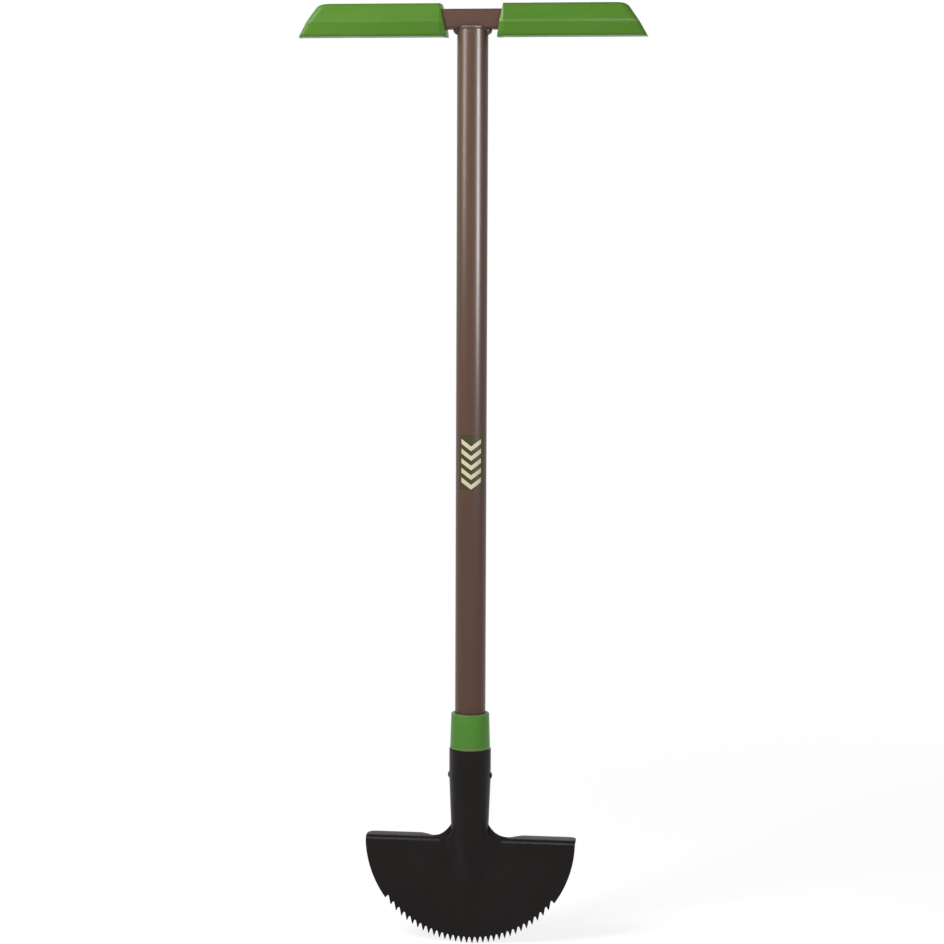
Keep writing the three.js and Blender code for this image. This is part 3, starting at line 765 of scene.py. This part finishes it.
class EDGER_OT_grips(bpy.types.Operator):
    """Build the two moulded grips"""

    bl_idname = "edger.grips"
    bl_label = "Grips"

    def execute(self, context):
        colours = props().colours
        # Painted highlight along each grip's ridge, deeper on the right grip than on the left: the two grip
        # materials are lit copies of one plastic
        for side, wear_and_sheen in (("left", 0.25), ("right", 0.9)):
            shape = GripShape(side + "_grip")
            ridge = (shape.axis_z + shape.ridge_z, 0.0017, wear_and_sheen)
            material = green_plastic("Grip plastic " + side, colours.grip, 0.36, [ridge], colours.grip_ridge_highlight)
            bm = grip_mesh(shape)
            name, node = "handle_grip_" + side, side + "_grip"
            finished(bm, name, material, node, smooth_angle=radians(40))
        return {"FINISHED"}


class EDGER_OT_blade(bpy.types.Operator):
    """Build the toothed blade with its treads, frog and rolled socket"""

    bl_idname = "edger.blade"
    bl_label = "Blade"

    def execute(self, context):
        bm = merged_copy("blade")
        material = black_coat("Blade coat", props().colours.blade, roughness=0.36)
        finished(bm, "toothed_blade", material, "blade")
        return {"FINISHED"}


class EDGER_OT_rivet(bpy.types.Operator):
    """Build the rivet through the socket, with its two domed heads"""

    bl_idname = "edger.rivet"
    bl_label = "Rivet"

    def execute(self, context):
        bm = merged_copy("socket_rivet")
        material = black_coat("Rivet coat", props().colours.rivet, roughness=0.38)
        finished(bm, "socket_rivet_heads", material, "socket_rivet")
        return {"FINISHED"}


# Studio

PAINTED = ("shaft_tube", "handle_crossbar", "handle_weld")
PLASTIC = ("handle_grip_left", "handle_grip_right", "socket_collar")


def lamp(name, place, aim, size, power):
    """A soft lamp that lights only the matt part of a finish."""
    data = bpy.data.lights.new(name, "AREA")
    data.shape = "RECTANGLE"
    data.size, data.size_y = size
    data.energy = power
    made = bpy.data.objects.new(name, data)
    made.visible_glossy = made.visible_transmission = False
    bpy.context.scene.collection.objects.link(made)
    made.location = place
    made.rotation_euler = (Vector(aim) - Vector(place)).to_track_quat("-Z", "Y").to_euler()
    return made


def gleam(name, place, aim, size, power, pieces):
    """A lamp that is only seen mirrored, and only in the gloss of the named pieces."""
    made = lamp(name, place, aim, size, power)
    made.visible_diffuse, made.visible_glossy = False, True
    lit = bpy.data.collections.new("lit_by_" + name)
    for piece in pieces:
        lit.objects.link(bpy.data.objects[piece])
    made.light_linking.receiver_collection = lit


def build_lamps(studio):
    lamp("lamp_left", (-0.85, -0.98, 1.5), aim=(0, 0, 0.75), size=(0.5, 0.9), power=studio.left_lamp)
    lamp("lamp_right", (1.25, -1.1, 0.5), aim=(0, 0, 0.35), size=(0.9, 0.9), power=studio.right_lamp)
    lamp("lamp_top", (0.2, -0.5, 2.4), aim=(0, 0, 0.5), size=(1.4, 1.0), power=studio.top_lamp)
    lamp("lamp_back", (-0.5, 2.2, 1.3), aim=(0, 0, 0.6), size=(1.2, 1.2), power=studio.back_lamp)
    gleam("gleam_left", (-1.61, -1.01, 1.9), (0, 0, 1.9), (0.55, 1.5), studio.left_gleam, PAINTED + PLASTIC)
    gleam("gleam_right", (1.51, -1.15, 1.5), (0, 0, 1.5), (0.45, 1.5), studio.right_gleam, PAINTED)
    gleam("gleam_top", (-0.35, -1.7, 4.4), (0, 0, 0.1), (2.4, 0.4), studio.top_gleam, ("toothed_blade",))


def floor_material(studio):
    """Pale matt floor. Near the tool it keeps the shadow, and far out it runs into the white background."""
    material = bpy.data.materials.new("Studio floor")
    material.use_nodes = True
    s = Nodes(material.node_tree)
    matt = s.add("ShaderNodeBsdfDiffuse", 0, 200)
    s.feed((0.8, 0.8, 0.8, 1), matt, "Color")
    pale = s.add("ShaderNodeBsdfDiffuse", -400, 0)
    s.feed((*shade((1, 1, 1), studio.floor_shade), 1), pale, "Color")
    shown = s.add("ShaderNodeAddShader", -200, 0)
    s.feed((pale, 0), shown, 0)
    s.feed(s.glow(-400, -200, "ShaderNodeEmission", studio.floor_glow), shown, 1)
    white = s.glow(-200, -200, "ShaderNodeEmission", 1.0)
    place = s.add("ShaderNodeTexCoord", -800, -300)
    reach = s.add("ShaderNodeVectorMath", -600, -300, operation="LENGTH")
    s.feed((place, "Object"), reach, 0)
    low, high = studio.fade_start, studio.fade_end
    fade = s.ranged(-400, -400, (reach, "Value"), low, high, 0.0, 1.0, interpolation_type="SMOOTHSTEP")
    far = s.mixed_shader(0, 0, fade, (shown, 0), white)
    output = s.add("ShaderNodeOutputMaterial", 400, 0)
    s.feed(s.mixed_shader(200, 0, s.seen_white(-600, 400), (matt, 0), far), output, "Surface")
    return material


def build_floor(studio):
    bm = bmesh.new()
    bmesh.ops.create_grid(bm, x_segments=1, y_segments=1, size=30)
    mesh = bpy.data.meshes.new("studio_floor")
    bm.to_mesh(mesh)
    bm.free()
    floor = bpy.data.objects.new("studio_floor", mesh)
    bpy.context.scene.collection.objects.link(floor)
    mesh.materials.append(floor_material(studio))


def build_world(studio):
    """White round the tool as it is seen, darker overhead, and a soft light that falls off upwards."""
    world = bpy.data.worlds.new("Studio light")
    world.use_nodes = True
    bpy.context.scene.world = world
    s = Nodes(world.node_tree)
    way = s.add("ShaderNodeTexCoord", -1000, -200)
    axes = s.add("ShaderNodeSeparateXYZ", -800, -200)
    s.feed((way, "Generated"), axes, 0)
    ceiling = s.ranged(-600, -100, (axes, "Z"), 0.42, 0.8, 1.0, 0.25, interpolation_type="SMOOTHSTEP")
    dim = s.ranged(-600, -400, (axes, "Z"), 0.1, 0.8, studio.sky, 0.3 * studio.sky)
    soft = s.glow(-200, -400, "ShaderNodeBackground", dim)
    white = s.glow(-200, -100, "ShaderNodeBackground", ceiling)
    output = s.add("ShaderNodeOutputWorld", 400, 0)
    s.feed(s.mixed_shader(200, 0, s.seen_white(-600, 200), soft, white), output, "Surface")


def build_camera(studio):
    turn, tilt = studio.camera_turn, studio.camera_tilt
    data = bpy.data.cameras.new("camera")
    data.lens = studio.lens
    data.sensor_width = 36
    data.clip_end = 100
    camera = bpy.data.objects.new("camera", data)
    scene = bpy.context.scene
    scene.collection.objects.link(camera)
    distance = studio.camera_distance
    camera.location = (distance * sin(turn), -distance * cos(turn), studio.camera_height)
    look = turn - studio.camera_pan
    aim = Vector((-sin(look) * cos(tilt), cos(look) * cos(tilt), -sin(tilt)))
    spin = Matrix.Rotation(studio.camera_roll, 3, "Z")
    camera.rotation_euler = (aim.to_track_quat("-Z", "Y").to_matrix() @ spin).to_euler()
    scene.camera = camera
    scene.view_settings.view_transform = "Standard"


class EDGER_OT_studio(bpy.types.Operator):
    """Build the floor, the soft lamps, the white world and the camera"""

    bl_idname = "edger.studio"
    bl_label = "Studio"

    def execute(self, context):
        studio = props().studio
        build_floor(studio)
        build_world(studio)
        build_lamps(studio)
        build_camera(studio)
        return {"FINISHED"}


PIECES = (
    EDGER_OT_shaft,
    EDGER_OT_crossbar,
    EDGER_OT_weld,
    EDGER_OT_collar,
    EDGER_OT_grips,
    EDGER_OT_blade,
    EDGER_OT_rivet,
    EDGER_OT_studio,
)


class EdgerProperties(bpy.types.PropertyGroup):
    """All the settings of the border edger"""

    sizes: PointerProperty(type=EdgerSizes, name="Sizes", description="Sizes of the details")
    colours: PointerProperty(type=EdgerColours, name="Colours", description="Colours of the finishes")
    studio: PointerProperty(type=EdgerStudio, name="Studio", description="Camera, lamps and floor")


class EDGER_PT_panel(bpy.types.Panel):
    """Sidebar panel with the settings and one button for each piece"""

    bl_idname = "EDGER_PT_panel"
    bl_label = "Border edger"
    bl_space_type = "VIEW_3D"
    bl_region_type = "UI"
    bl_category = "Edger"

    def draw(self, context):
        edger = context.scene.edger
        for group in (edger.sizes, edger.colours, edger.studio):
            box = self.layout.box()
            for key in group.__annotations__:
                box.prop(group, key)
        for piece in PIECES:
            self.layout.operator(piece.bl_idname)


CLASSES = (EdgerSizes, EdgerColours, EdgerStudio, EdgerProperties, *PIECES, EDGER_PT_panel)


def register():
    for cls in CLASSES:
        bpy.utils.register_class(cls)
    bpy.types.Scene.edger = PointerProperty(type=EdgerProperties)


def unregister():
    del bpy.types.Scene.edger
    for cls in reversed(CLASSES):
        bpy.utils.unregister_class(cls)


def main():
    register()
    bpy.ops.edger.shaft()
    bpy.ops.edger.crossbar()
    bpy.ops.edger.weld()
    bpy.ops.edger.collar()
    bpy.ops.edger.grips()
    bpy.ops.edger.blade()
    bpy.ops.edger.rivet()
    bpy.ops.edger.studio()


if __name__ == "__main__":
    main()
